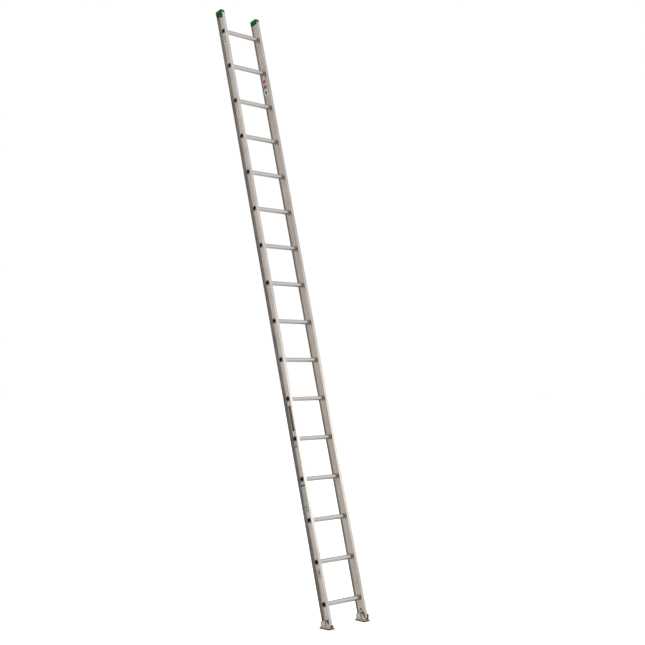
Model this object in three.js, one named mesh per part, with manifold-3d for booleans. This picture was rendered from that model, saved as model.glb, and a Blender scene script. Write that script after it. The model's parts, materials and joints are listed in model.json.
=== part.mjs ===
// A single-section aluminium ladder: two I-section rails, sixteen D-section rungs, moulded end caps and a swivel
// shoe under each rail. It stands at its working angle with both shoes flat on the ground. Sizes are in millimetres:
// X runs along the rungs, the climber stands at -Y and Z is up.

import * as THREE from "three";
import { mergeVertices } from "three/addons/utils/BufferGeometryUtils.js";
import Module from "manifold-3d";

const wasm = await Module();
wasm.setup();

// Driving dimensions of the ladder
const INCH = 25.4;
const LEAN = THREE.MathUtils.degToRad(14.5); // from upright
const WIDTH = 402; // over both rails
const RUNG_COUNT = 16;
const RUNG_SPACING = 12 * INCH;
const END_LENGTH = 6 * INCH; // rail beyond the first and the last rung
const BOTTOM_RUNG_HEIGHT = 168; // axis above the ground
const GAP = 0.3; // between pieces that touch
const ROUND_SIDES = 12;

// Rail section: x runs inwards from the outer flange tips, y runs back from the middle of the web
const RAIL_DEPTH = 75;
const FLANGE_WIDTH = 28;
const FLANGE_THICKNESS = 3;
const WEB_OUTER = 17.3;
const WEB_INNER = 19.5;
const FILLET = 3;
const RAIL_TOP = (RUNG_COUNT - 1) * RUNG_SPACING + END_LENGTH;
const RAIL_BOTTOM = -END_LENGTH;
const HALF_DEPTH = RAIL_DEPTH / 2;
const FLANGE_INSIDE = HALF_DEPTH - FLANGE_THICKNESS;

// Rung
const RUNG_RADIUS = 18.5;
const RUNG_WALL = 1.8;
const TREAD_HEIGHT = 15; // flat tread above the rung's axis
const BEAD_RADIUS = 22;
const FLARE_LENGTH = 5;
const FLARE_TAPER = 1.5;
const BEAD_LENGTH = 5.5;
const ROUND_END = 42; // the tread stops this far inside each web

// Swivel shoe
const PIVOT_DROP = 115; // below the bottom rung, along the rail
const PIVOT_HEIGHT = BOTTOM_RUNG_HEIGHT - PIVOT_DROP * Math.cos(LEAN);
const PAD_THICKNESS = 8;
const PLATE_THICKNESS = 3;
const PLATE_TOP = PAD_THICKNESS + PLATE_THICKNESS;
const SHOE_REAR = 46;
const SHOE_FRONT = -52;
const PAD_OVERHANG = 18; // beyond the rail on each side
const PLATE_INSET = 2; // the plate's edge inside the pad's
const EAR_THICKNESS = 3;
const EAR_GAP = 0.5; // between an ear and the flange tips
const EAR_TOP = 52.7;
const EAR_BACK_ROUND = 12;
const BOSS_RADIUS = 12; // of the ear round the pivot bolt
const BOSS_SPREAD = 0.45; // radians above level where the boss leaves the ear's top
const BOSS_SHOULDER = 17;
const VALLEY_Y = -34; // between the boss and the horn
const VALLEY_HEIGHT = 35;
const HORN_TOP = 55.5;
const HORN_REAR = -38;
const HORN_ROUND = 6;
const HORN_CHAMFER = 4;
const INNER_EAR_FRONT = 27; // height of the inner ear's front edge
const WINDOW_HALF = 4; // half the width of the window below the bolt
const WINDOW_START = 12; // distances below the pivot, along the rail
const WINDOW_END = 39;
const CORNER_CLEARANCE = 0.7; // between the plate and the rail's rounded corner

// Fasteners
const BOLT_RADIUS = 4;
const BOLT_ACROSS_FLATS = 13;
const BOLT_HEAD = 5.3;
const NUT_HEIGHT = 7.8;
const WASHER_RADIUS = 8;
const WASHER_THICKNESS = 1.6;
const SLEEVE_RADIUS = 6;
const PAD_RIVET_RADIUS = 2.5;
const PAD_RIVET_HEAD = 4.2;
const PAD_RIVET_IN = 9.8; // in the plate's margin beside each ear
const PAD_RIVET_ALONG = 14; // in from the plate's ends
const PAD_RIVET_FOOT = 3.3; // above the ground
const RIVET_DOME = 1.8; // height of every rivet's head
const RIVET_TAPER = 1.6; // the head's crown inside its rim
const CAP_RIVET_RADIUS = 2.5;
const CAP_RIVET_HEAD = 4.5;
const CAP_RIVET_DROP = 15.4; // below the rail's top
const BUTTON_DROP = 87; // below the bottom rung
const BUTTON_RADIUS = 8.5;
const BUTTON_RIVET_RADIUS = 3;
const BUTTON_RIVET_HEAD = 6;
const BUTTON_EDGE = 1.6;
const BUTTON_HEIGHT = 3.4;
const BUTTON_CROWN = 3; // the crown inside the rim
const BOLT_END = 2; // beyond the nut

// End cap
const CAP_HEIGHT = 28;
const CAP_FRONT_ROUND = 18; // of the block's upper front edge
const CAP_MARGIN = 1.5; // outside the rail's section
const CAP_BEVEL = 3;
const SKIRT_DROP = 6;
const TONGUE_DROP = 26;
const TONGUE_WIDTH = 34;
const TONGUE_FACE = 8; // in from the outer flange tips

// Label plates
const LABEL_THICKNESS = 0.4;

const MATERIALS = {
  rail: new THREE.MeshStandardMaterial({ color: 0xb5ada3, roughness: 0.45, metalness: 0.85 }),
  rung: new THREE.MeshStandardMaterial({ color: 0xc3beb9, roughness: 0.4, metalness: 0.85 }),
  shoe: new THREE.MeshStandardMaterial({ color: 0xada598, roughness: 0.5, metalness: 0.85 }),
  rubber: new THREE.MeshStandardMaterial({ color: 0x2b2927, roughness: 0.85, metalness: 0 }),
  cap: new THREE.MeshStandardMaterial({ color: 0x0c5a36, roughness: 0.5, metalness: 0 }),
  button: new THREE.MeshStandardMaterial({ color: 0x2f8a35, roughness: 0.45, metalness: 0 }),
  steel: new THREE.MeshStandardMaterial({ color: 0xa9a9a6, roughness: 0.4, metalness: 0.9 }),
  label: new THREE.MeshStandardMaterial({ color: 0xd8dad6, roughness: 0.5, metalness: 0 }),
};

// Booleans

function solid(geometry) {
  const bare = geometry.clone();
  bare.deleteAttribute("normal");
  bare.deleteAttribute("uv");
  const merged = mergeVertices(bare, 1e-4);
  const vertProperties = merged.getAttribute("position").array;
  const triVerts = new Uint32Array(merged.index.array);
  return new wasm.Manifold(new wasm.Mesh({ numProp: 3, vertProperties, triVerts }));
}

function join(geometries) {
  return geometries.map(solid).reduce((whole, piece) => whole.add(piece));
}

function cut(whole, geometries) {
  return geometries.map(solid).reduce((left, tool) => left.subtract(tool), whole);
}

function geometryOf(body) {
  const { vertProperties, triVerts } = body.getMesh();
  const geometry = new THREE.BufferGeometry();
  geometry.setAttribute("position", new THREE.BufferAttribute(vertProperties, 3));
  geometry.setIndex(new THREE.BufferAttribute(triVerts, 1));
  geometry.computeVertexNormals();
  return geometry;
}

// Shapes

function box(x0, x1, y0, y1, z0, z1) {
  const geometry = new THREE.BoxGeometry(x1 - x0, y1 - y0, z1 - z0);
  return geometry.translate((x0 + x1) / 2, (y0 + y1) / 2, (z0 + z1) / 2);
}

// A rod along x, from one x to the other
function rod(radius, from, to, y = 0, z = 0) {
  const geometry = new THREE.CylinderGeometry(radius, radius, to - from, ROUND_SIDES);
  return geometry.rotateZ(Math.PI / 2).translate((from + to) / 2, y, z);
}

// An upright rod
function post(radius, from, to, x, y) {
  const geometry = new THREE.CylinderGeometry(radius, radius, to - from, ROUND_SIDES);
  return geometry.rotateX(Math.PI / 2).translate(x, y, (from + to) / 2);
}

// A body turned about the x axis, from [x, radius] pairs in rising x
function turned(profile) {
  const points = profile.map(([x, radius]) => new THREE.Vector2(radius, x));
  return new THREE.LatheGeometry(points, ROUND_SIDES).rotateZ(-Math.PI / 2);
}

// The radius of a faceted hole whose flats clear a rod by the gap
function holeRadius(radius) {
  return (radius + GAP) / Math.cos(Math.PI / ROUND_SIDES);
}

// An outline drawn in (y, z), given its thickness along x
function plate(outline, from, to) {
  const geometry = new THREE.ExtrudeGeometry(outline, {
    depth: to - from,
    bevelEnabled: false,
    curveSegments: 4,
  });
  const turn = new THREE.Matrix4().makeBasis(
    new THREE.Vector3(0, 1, 0),
    new THREE.Vector3(0, 0, 1),
    new THREE.Vector3(1, 0, 0),
  );
  return geometry.applyMatrix4(turn).translate(from, 0, 0);
}

function roundedRectangle(x0, x1, y0, y1, radius) {
  const outline = new THREE.Shape();
  outline.moveTo(x0 + radius, y0);
  outline.lineTo(x1 - radius, y0);
  outline.absarc(x1 - radius, y0 + radius, radius, -Math.PI / 2, 0);
  outline.lineTo(x1, y1 - radius);
  outline.absarc(x1 - radius, y1 - radius, radius, 0, Math.PI / 2);
  outline.lineTo(x0 + radius, y1);
  outline.absarc(x0 + radius, y1 - radius, radius, Math.PI / 2, Math.PI);
  outline.lineTo(x0, y0 + radius);
  outline.absarc(x0 + radius, y0 + radius, radius, Math.PI, 1.5 * Math.PI);
  return outline;
}

// A level slab with rounded corners
function slab(x0, x1, y0, y1, radius, z0, z1) {
  const outline = roundedRectangle(x0, x1, y0, y1, radius);
  const depth = z1 - z0;
  const extruded = new THREE.ExtrudeGeometry(outline, { depth, bevelEnabled: false, curveSegments: 3 });
  return extruded.translate(0, 0, z0);
}

function add(group, name, geometry, material) {
  const mesh = new THREE.Mesh(geometry, MATERIALS[material]);
  mesh.name = name;
  group.add(mesh);
  return mesh;
}

// Rails

function railSection() {
  const section = new THREE.Shape();
  section.moveTo(0, -HALF_DEPTH);
  section.lineTo(FLANGE_WIDTH, -HALF_DEPTH);
  section.lineTo(FLANGE_WIDTH, -FLANGE_INSIDE);
  section.lineTo(WEB_INNER + FILLET, -FLANGE_INSIDE);
  section.lineTo(WEB_INNER, -FLANGE_INSIDE + FILLET);
  section.lineTo(WEB_INNER, FLANGE_INSIDE - FILLET);
  section.lineTo(WEB_INNER + FILLET, FLANGE_INSIDE);
  section.lineTo(FLANGE_WIDTH, FLANGE_INSIDE);
  section.lineTo(FLANGE_WIDTH, HALF_DEPTH);
  section.lineTo(0, HALF_DEPTH);
  section.lineTo(0, FLANGE_INSIDE);
  section.lineTo(WEB_OUTER - FILLET, FLANGE_INSIDE);
  section.lineTo(WEB_OUTER, FLANGE_INSIDE - FILLET);
  section.lineTo(WEB_OUTER, -FLANGE_INSIDE + FILLET);
  section.lineTo(WEB_OUTER - FILLET, -FLANGE_INSIDE);
  section.lineTo(0, -FLANGE_INSIDE);
  return section;
}

// The rear bottom corner is rounded about the pivot, so that the shoe's plate can swing past it
function cornerCutter() {
  const reach = HALF_DEPTH + 1;
  const corner = box(-1, FLANGE_WIDTH + 1, reach / 2, reach, RAIL_BOTTOM - 1, -PIVOT_DROP);
  const swing = PIVOT_HEIGHT - PLATE_TOP - CORNER_CLEARANCE;
  return geometryOf(cut(solid(corner), [rod(swing, -2, FLANGE_WIDTH + 2, 0, -PIVOT_DROP)]));
}

function railGeometry() {
  const depth = RAIL_TOP - RAIL_BOTTOM;
  const extrusion = new THREE.ExtrudeGeometry(railSection(), { depth, bevelEnabled: false });
  const through = (radius, z) => rod(holeRadius(radius), WEB_OUTER - 1, WEB_INNER + 1, 0, z);
  const holes = [];
  for (let i = 0; i < RUNG_COUNT; i += 1) {
    holes.push(through(RUNG_RADIUS, i * RUNG_SPACING));
  }
  holes.push(through(SLEEVE_RADIUS, -PIVOT_DROP));
  holes.push(through(BUTTON_RIVET_RADIUS, -BUTTON_DROP));
  holes.push(through(CAP_RIVET_RADIUS, RAIL_TOP - CAP_RIVET_DROP));
  return geometryOf(cut(solid(extrusion.translate(0, 0, RAIL_BOTTOM)), [cornerCutter(), ...holes]));
}

// Rungs: a tube with a flat tread, a bead inside each web and a flared mouth outside it

function rungGeometry() {
  const webOut = WIDTH / 2 - WEB_OUTER + GAP;
  const webIn = WIDTH / 2 - WEB_INNER - GAP;
  const mouth = webOut + FLARE_LENGTH;
  const beadEnd = webIn - BEAD_LENGTH;
  const half = [
    [beadEnd, RUNG_RADIUS],
    [webIn, BEAD_RADIUS],
    [webIn, RUNG_RADIUS],
    [webOut, RUNG_RADIUS],
    [webOut, BEAD_RADIUS],
    [mouth, BEAD_RADIUS - FLARE_TAPER],
    [mouth, 0],
  ];
  const mirrored = half.map(([x, radius]) => [-x, radius]).reverse();
  const tread = webIn - ROUND_END;
  const outside = cut(solid(turned([...mirrored, ...half])), [
    box(-tread, tread, -RUNG_RADIUS - 1, RUNG_RADIUS + 1, TREAD_HEIGHT, RUNG_RADIUS + 1),
  ]);
  const bore = cut(solid(rod(RUNG_RADIUS - RUNG_WALL, -mouth - 1, mouth + 1)), [
    box(-tread - RUNG_WALL, tread + RUNG_WALL, -RUNG_RADIUS, RUNG_RADIUS, TREAD_HEIGHT - RUNG_WALL, RUNG_RADIUS),
  ]);
  return geometryOf(outside.subtract(bore));
}

// End caps: a block over the rail's end, a skirt round its sides and back, and a tongue riveted to the web

function tongueOutline() {
  const half = TONGUE_WIDTH / 2;
  const round = 10;
  const low = RAIL_TOP - TONGUE_DROP;
  const outline = new THREE.Shape();
  outline.moveTo(half, RAIL_TOP);
  outline.lineTo(-half, RAIL_TOP);
  outline.lineTo(-half, low + round);
  outline.absarc(-half + round, low + round, round, Math.PI, 1.5 * Math.PI);
  outline.lineTo(half - round, low);
  outline.absarc(half - round, low + round, round, -Math.PI / 2, 0);
  return outline;
}

// What the block's rounded upper front edge leaves out
function capCorner() {
  const front = -HALF_DEPTH - CAP_MARGIN;
  const top = RAIL_TOP + CAP_HEIGHT;
  const middle = [front + CAP_FRONT_ROUND, top - CAP_FRONT_ROUND];
  const outline = new THREE.Shape();
  outline.moveTo(front - 1, middle[1]);
  outline.absarc(middle[0], middle[1], CAP_FRONT_ROUND, Math.PI, Math.PI / 2, true);
  outline.lineTo(middle[0], top + 1);
  outline.lineTo(front - 1, top + 1);
  return plate(outline, -CAP_MARGIN - 1, FLANGE_WIDTH + CAP_MARGIN + 1);
}

function capBlock() {
  const x0 = -CAP_MARGIN + CAP_BEVEL;
  const x1 = FLANGE_WIDTH + CAP_MARGIN - CAP_BEVEL;
  const y1 = HALF_DEPTH + CAP_MARGIN - CAP_BEVEL;
  const outline = roundedRectangle(x0, x1, -y1, y1, 1);
  const block = new THREE.ExtrudeGeometry(outline, {
    depth: 2 * (CAP_HEIGHT - CAP_BEVEL),
    bevelThickness: CAP_BEVEL,
    bevelSize: CAP_BEVEL,
    bevelSegments: 2,
    curveSegments: 1,
  }).translate(0, 0, RAIL_TOP - CAP_HEIGHT + CAP_BEVEL);
  const low = RAIL_TOP - 2 * CAP_HEIGHT;
  const below = box(-10, FLANGE_WIDTH + 10, -RAIL_DEPTH, RAIL_DEPTH, low, RAIL_TOP + GAP);
  return geometryOf(cut(solid(block), [below, capCorner()]));
}

function capGeometry() {
  const low = RAIL_TOP - SKIRT_DROP;
  const high = RAIL_TOP + 4;
  const out = -CAP_MARGIN;
  const inside = FLANGE_WIDTH + CAP_MARGIN;
  const back = HALF_DEPTH + CAP_MARGIN;
  const recess = FLANGE_INSIDE - GAP;
  const pieces = [
    capBlock(),
    box(out, -GAP, -FLANGE_INSIDE + FILLET, back, low, high),
    box(FLANGE_WIDTH + GAP, inside, -HALF_DEPTH, back, low, high),
    box(out, inside, HALF_DEPTH + GAP, back, low, high),
    box(out, WEB_OUTER - GAP, -FLANGE_INSIDE + FILLET, recess - FILLET, low, high),
    plate(tongueOutline(), TONGUE_FACE, WEB_OUTER - GAP),
    box(TONGUE_FACE, WEB_OUTER - GAP, -TONGUE_WIDTH / 2, TONGUE_WIDTH / 2, RAIL_TOP - 1, high),
  ];
  const rivetHeight = RAIL_TOP - CAP_RIVET_DROP;
  const rivetHole = rod(holeRadius(CAP_RIVET_RADIUS), TONGUE_FACE - 1, WEB_OUTER + 1, 0, rivetHeight);
  return geometryOf(cut(join(pieces), [rivetHole]));
}

function capRivetGeometry() {
  const face = TONGUE_FACE - GAP;
  const tail = WEB_INNER + GAP;
  return turned([
    [face - RIVET_DOME, 0],
    [face - RIVET_DOME, CAP_RIVET_HEAD - RIVET_TAPER],
    [face, CAP_RIVET_HEAD],
    [face, CAP_RIVET_RADIUS],
    [tail, CAP_RIVET_RADIUS],
    [tail, CAP_RIVET_HEAD],
    [tail + RIVET_DOME, CAP_RIVET_HEAD - RIVET_TAPER],
    [tail + RIVET_DOME, 0],
  ]).translate(0, 0, RAIL_TOP - CAP_RIVET_DROP);
}

// Buttons on the inner webs, each on the tail of a rivet

function buttonRivetGeometry() {
  const face = WEB_OUTER - GAP;
  return turned([
    [face - RIVET_DOME, 0],
    [face - RIVET_DOME, BUTTON_RIVET_HEAD - RIVET_TAPER],
    [face, BUTTON_RIVET_HEAD],
    [face, BUTTON_RIVET_RADIUS],
    [WEB_INNER + RIVET_DOME, BUTTON_RIVET_RADIUS],
    [WEB_INNER + RIVET_DOME, 0],
  ]).translate(0, 0, -BUTTON_DROP);
}

function buttonGeometry() {
  const face = WEB_INNER + GAP;
  const disc = turned([
    [face, 0],
    [face, BUTTON_RADIUS],
    [face + BUTTON_EDGE, BUTTON_RADIUS],
    [face + BUTTON_HEIGHT, BUTTON_RADIUS - BUTTON_CROWN],
    [face + BUTTON_HEIGHT, 0],
  ]);
  const socket = rod(holeRadius(BUTTON_RIVET_RADIUS), face - 1, WEB_INNER + RIVET_DOME + GAP);
  return geometryOf(cut(solid(disc), [socket])).translate(0, 0, -BUTTON_DROP);
}

// Swivel shoes: y is measured from the pivot and z from the ground

function earOutline(withHorn) {
  const outline = new THREE.Shape();
  outline.moveTo(SHOE_REAR, PAD_THICKNESS);
  outline.lineTo(SHOE_REAR, EAR_TOP - EAR_BACK_ROUND);
  outline.absarc(SHOE_REAR - EAR_BACK_ROUND, EAR_TOP - EAR_BACK_ROUND, EAR_BACK_ROUND, 0, Math.PI / 2);
  outline.lineTo(BOSS_SHOULDER, EAR_TOP);
  outline.absarc(0, PIVOT_HEIGHT, BOSS_RADIUS, BOSS_SPREAD, Math.PI - BOSS_SPREAD / 2);
  outline.lineTo(VALLEY_Y, VALLEY_HEIGHT);
  if (withHorn) {
    outline.lineTo(HORN_REAR, HORN_TOP - HORN_ROUND);
    outline.absarc(HORN_REAR - HORN_ROUND, HORN_TOP - HORN_ROUND, HORN_ROUND, 0, Math.PI / 2);
    outline.lineTo(SHOE_FRONT + HORN_CHAMFER, HORN_TOP);
    outline.lineTo(SHOE_FRONT, HORN_TOP - 2 * HORN_CHAMFER);
  } else {
    outline.lineTo(SHOE_FRONT, INNER_EAR_FRONT);
  }
  outline.lineTo(SHOE_FRONT, PAD_THICKNESS);
  return outline;
}

// A point below the pivot, measured along the rail
function belowPivot(distance) {
  return new THREE.Vector2(-distance * Math.sin(LEAN), PIVOT_HEIGHT - distance * Math.cos(LEAN));
}

// A window below the pivot, in line with the rail
function windowOutline() {
  const high = belowPivot(WINDOW_START);
  const low = belowPivot(WINDOW_END);
  const run = low.clone().sub(high).angle();
  const outline = new THREE.Shape();
  outline.absarc(high.x, high.y, WINDOW_HALF, run + Math.PI / 2, run + 1.5 * Math.PI);
  outline.absarc(low.x, low.y, WINDOW_HALF, run - Math.PI / 2, run + Math.PI / 2);
  return outline;
}

const EARS = [
  [-EAR_GAP - EAR_THICKNESS, -EAR_GAP],
  [FLANGE_WIDTH + EAR_GAP, FLANGE_WIDTH + EAR_GAP + EAR_THICKNESS],
];
const PAD_X0 = -PAD_OVERHANG;
const PAD_X1 = FLANGE_WIDTH + PAD_OVERHANG;
const PAD_RIVETS = [
  ["front_outer", -PAD_RIVET_IN, SHOE_FRONT + PAD_RIVET_ALONG],
  ["front_inner", FLANGE_WIDTH + PAD_RIVET_IN, SHOE_FRONT + PAD_RIVET_ALONG],
  ["rear_outer", -PAD_RIVET_IN, SHOE_REAR - PAD_RIVET_ALONG],
  ["rear_inner", FLANGE_WIDTH + PAD_RIVET_IN, SHOE_REAR - PAD_RIVET_ALONG],
];

function bracketGeometry() {
  const base = slab(
    PAD_X0 + PLATE_INSET,
    PAD_X1 - PLATE_INSET,
    SHOE_FRONT,
    SHOE_REAR,
    8,
    PAD_THICKNESS,
    PLATE_TOP,
  );
  const ears = EARS.map(([from, to], i) => plate(earOutline(i === 0), from, to));
  const across = [PAD_X0, PAD_X1];
  const holes = [
    rod(holeRadius(BOLT_RADIUS), ...across, 0, PIVOT_HEIGHT),
    plate(windowOutline(), ...across),
    ...PAD_RIVETS.map(([, x, y]) => post(holeRadius(PAD_RIVET_RADIUS), 0, PLATE_TOP + 1, x, y)),
  ];
  return geometryOf(cut(join([base, ...ears]), holes));
}

function padGeometry() {
  const grooveWidth = 4;
  const grooveDepth = 2;
  const grooveCount = 7;
  const top = PAD_THICKNESS - GAP;
  const pad = slab(PAD_X0, PAD_X1, SHOE_FRONT - PLATE_INSET, SHOE_REAR + PLATE_INSET, 10, 0, top);
  const hole = holeRadius(PAD_RIVET_RADIUS);
  const cutters = PAD_RIVETS.map(([, x, y]) => post(hole, PAD_RIVET_FOOT - GAP, top + 1, x, y));
  for (let i = 0; i < grooveCount; i += 1) {
    const y = SHOE_FRONT + ((SHOE_REAR - SHOE_FRONT) * (i + 0.5)) / grooveCount;
    cutters.push(box(PAD_X0 - 1, PAD_X1 + 1, y - grooveWidth / 2, y + grooveWidth / 2, -1, grooveDepth));
  }
  return geometryOf(cut(solid(pad), cutters));
}

function padRivetGeometry() {
  const seat = PLATE_TOP + GAP;
  return turned([
    [PAD_RIVET_FOOT, 0],
    [PAD_RIVET_FOOT, PAD_RIVET_RADIUS],
    [seat, PAD_RIVET_RADIUS],
    [seat, PAD_RIVET_HEAD],
    [seat + RIVET_DOME, PAD_RIVET_HEAD - RIVET_TAPER],
    [seat + RIVET_DOME, 0],
  ]).rotateY(-Math.PI / 2);
}

// Pivot bolt, washers, sleeve and nut along x

const OUTER_WASHER = EARS[0][0] - GAP - WASHER_THICKNESS;
const INNER_WASHER = EARS[1][1] + GAP;
const NUT_FACE = INNER_WASHER + WASHER_THICKNESS + GAP;

function hexagon(from, to) {
  const radius = BOLT_ACROSS_FLATS / 2 / Math.cos(Math.PI / 6);
  return new THREE.CylinderGeometry(radius, radius, to - from, 6)
    .rotateZ(Math.PI / 2)
    .translate((from + to) / 2, 0, 0);
}

function boltGeometry() {
  const seat = OUTER_WASHER - GAP;
  const shank = rod(BOLT_RADIUS, seat - 1, NUT_FACE + NUT_HEIGHT + BOLT_END);
  return geometryOf(join([hexagon(seat - BOLT_HEAD, seat), shank]));
}

function ringGeometry(body, from, to) {
  return geometryOf(cut(solid(body), [rod(holeRadius(BOLT_RADIUS), from - 1, to + 1)]));
}

function washerGeometry(from) {
  const to = from + WASHER_THICKNESS;
  return ringGeometry(rod(WASHER_RADIUS, from, to), from, to);
}

function sleeveGeometry() {
  const to = FLANGE_WIDTH + EAR_GAP - GAP;
  return ringGeometry(rod(SLEEVE_RADIUS, -EAR_GAP + GAP, to), -1, to);
}

function nutGeometry() {
  const to = NUT_FACE + NUT_HEIGHT;
  return ringGeometry(hexagon(NUT_FACE, to), NUT_FACE, to);
}

// Assembly

const ladder = new THREE.Group();
const leaning = new THREE.Group();
leaning.position.z = BOTTOM_RUNG_HEIGHT;
leaning.rotation.x = -LEAN;
ladder.add(leaning);

// One side: x runs inwards from the rail's outer flange tips, z up the rail from the bottom rung
function buildSide(side, direction) {
  const group = new THREE.Group();
  group.position.x = (-direction * WIDTH) / 2;
  group.scale.x = direction;
  leaning.add(group);
  add(group, `${side}_rail`, railGeometry(), "rail");
  add(group, `${side}_end_cap`, capGeometry(), "cap");
  add(group, `${side}_cap_rivet`, capRivetGeometry(), "steel");
  add(group, `${side}_button_rivet`, buttonRivetGeometry(), "steel");
  add(group, `${side}_button`, buttonGeometry(), "button");

  const pivot = new THREE.Group();
  pivot.position.z = -PIVOT_DROP;
  pivot.rotation.x = LEAN;
  group.add(pivot);
  add(pivot, `${side}_pivot_bolt`, boltGeometry(), "steel");
  add(pivot, `${side}_pivot_sleeve`, sleeveGeometry(), "steel");
  add(pivot, `${side}_outer_washer`, washerGeometry(OUTER_WASHER), "steel");
  add(pivot, `${side}_inner_washer`, washerGeometry(INNER_WASHER), "steel");
  add(pivot, `${side}_pivot_nut`, nutGeometry(), "steel");

  const shoe = new THREE.Group();
  shoe.position.z = -PIVOT_HEIGHT;
  pivot.add(shoe);
  add(shoe, `${side}_shoe_bracket`, bracketGeometry(), "shoe");
  add(shoe, `${side}_shoe_pad`, padGeometry(), "rubber");
  for (const [place, x, y] of PAD_RIVETS) {
    const rivet = add(shoe, `${side}_pad_rivet_${place}`, padRivetGeometry(), "steel");
    rivet.position.set(x, y, 0);
  }
  return group;
}

const sides = { left: buildSide("left", 1), right: buildSide("right", -1) };

for (let i = 0; i < RUNG_COUNT; i += 1) {
  const number = String(i + 1).padStart(2, "0");
  const rung = add(leaning, `rung_${number}`, rungGeometry(), "rung");
  rung.position.z = i * RUNG_SPACING;
  rung.rotation.x = LEAN;
}

// Plain plates where a ladder carries its labels, each hung below a rung: from and to are distances down the rail
const LABELS = [
  { name: "top_plate", side: "left", rung: 16, from: 34, to: 114, middle: 1, width: 30 },
  { name: "long_plate", side: "left", rung: 6, from: 50, to: 250, middle: 1, width: 34 },
  { name: "small_plate", side: "left", rung: 5, from: 24, to: 66, middle: 4, width: 28 },
  { name: "size_plate", side: "left", rung: 4, from: 27, to: 246, middle: 4, width: 44 },
  { name: "foot_plate", side: "left", rung: 2, from: 57, to: 116, middle: -4, width: 26 },
  { name: "inner_plate", side: "right", rung: 15, from: 48, to: 192, middle: 8, width: 44 },
];

for (const { name, side, rung, from, to, middle, width } of LABELS) {
  const face = name.startsWith("inner") ? WEB_INNER + GAP : WEB_OUTER - GAP - LABEL_THICKNESS;
  const hang = (rung - 1) * RUNG_SPACING;
  const half = width / 2;
  const film = box(face, face + LABEL_THICKNESS, middle - half, middle + half, hang - to, hang - from);
  add(sides[side], `label_${name}`, film, "label");
}

// The origin is the middle of the bounding box, on the ground
ladder.updateMatrixWorld(true);
const extent = new THREE.Box3().setFromObject(ladder, true);
const middle = extent.getCenter(new THREE.Vector3());
ladder.position.set(-middle.x, -middle.y, -extent.min.z);

export default ladder;
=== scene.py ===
"""The looks of a leaning single-section aluminium ladder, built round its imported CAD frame.

The frame gives every place in metres. A piece is drawn in millimetres in one of three local frames.
make_mesh() turns its points into metres, and put_mesh() places it:
  leaning  X along the rungs, Y to the back of the rails, Z up the rails, from the bottom rung's axis
  rung     X along the rung and Z up, from that rung's axis
  shoe     Y from the pivot to the back and Z up from the ground
"""

import json
import math

import bmesh
import bpy
from mathutils import Matrix, Vector
from mathutils.geometry import tessellate_polygon


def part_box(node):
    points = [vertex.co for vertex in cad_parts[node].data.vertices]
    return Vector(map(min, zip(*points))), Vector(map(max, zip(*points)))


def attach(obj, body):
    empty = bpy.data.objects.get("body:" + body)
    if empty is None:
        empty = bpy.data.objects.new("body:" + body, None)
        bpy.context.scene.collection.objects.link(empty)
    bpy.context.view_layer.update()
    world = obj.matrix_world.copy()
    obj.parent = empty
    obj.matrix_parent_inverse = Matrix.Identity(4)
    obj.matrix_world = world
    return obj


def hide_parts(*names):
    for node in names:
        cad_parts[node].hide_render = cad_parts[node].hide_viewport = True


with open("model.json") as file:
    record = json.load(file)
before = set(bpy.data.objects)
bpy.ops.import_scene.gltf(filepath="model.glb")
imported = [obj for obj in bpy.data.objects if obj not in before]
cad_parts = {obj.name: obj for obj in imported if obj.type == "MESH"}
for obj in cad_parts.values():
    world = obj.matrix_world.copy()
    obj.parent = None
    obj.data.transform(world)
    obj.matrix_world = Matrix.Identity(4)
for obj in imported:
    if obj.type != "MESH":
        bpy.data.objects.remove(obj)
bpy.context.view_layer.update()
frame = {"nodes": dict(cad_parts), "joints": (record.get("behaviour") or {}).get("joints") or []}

MM = 0.001

# Places read from the frame


def centre(node):
    low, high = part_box(node)
    return (low + high) / 2


RUNG_NODES = sorted(n for n in frame["nodes"] if n.startswith("rung_"))
BOTTOM = centre(RUNG_NODES[0])
UP = (centre(RUNG_NODES[-1]) - BOTTOM).normalized()
BACK = Vector((0, UP.z, -UP.y))
LEAN = math.atan2(UP.y, UP.z)
SPACING = (centre(RUNG_NODES[1]) - BOTTOM).length / MM
HALF_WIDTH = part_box("right_rail")[1].x / MM
PIVOTS = {j["child"].split("_")[0]: Vector(j["pos_m"]) for j in frame["joints"]}
LEANING = Matrix.Translation(BOTTOM) @ Matrix((Vector((1, 0, 0)), BACK, UP)).transposed().to_4x4()
SHOE = Matrix.Translation((0, PIVOTS["left"].y, 0))
SIDES = {"left": -1, "right": 1}

# Sizes in millimetres, as the CAD part has them. Across a rail, x runs inwards from its outer flange tips.

# Rails
RAIL_DEPTH = 75
FLANGE_WIDTH = 28
FLANGE = 3
WEB_OUTER = 17.3
WEB_INNER = 19.5
FILLET = 3
TIP_ROUND = 1.1
HALF_DEPTH = RAIL_DEPTH / 2
INSIDE = HALF_DEPTH - FLANGE
WEB_FLAT = INSIDE - FILLET
END_LENGTH = SPACING / 2
RAIL_TOP = (len(RUNG_NODES) - 1) * SPACING + END_LENGTH
RAIL_BOTTOM = -END_LENGTH

# Rungs
RUNG_RADIUS = 18.5
RUNG_WALL = 1.8
TREAD_HEIGHT = 15
ROUND_END = 42
SWAGE_LENGTH = 12
TREAD_GROOVES = 7
TREAD_GROOVE_DEPTH = 0.8
TREAD_GROOVE_EASE = 0.6
BEAD_RADIUS = 22

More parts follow.
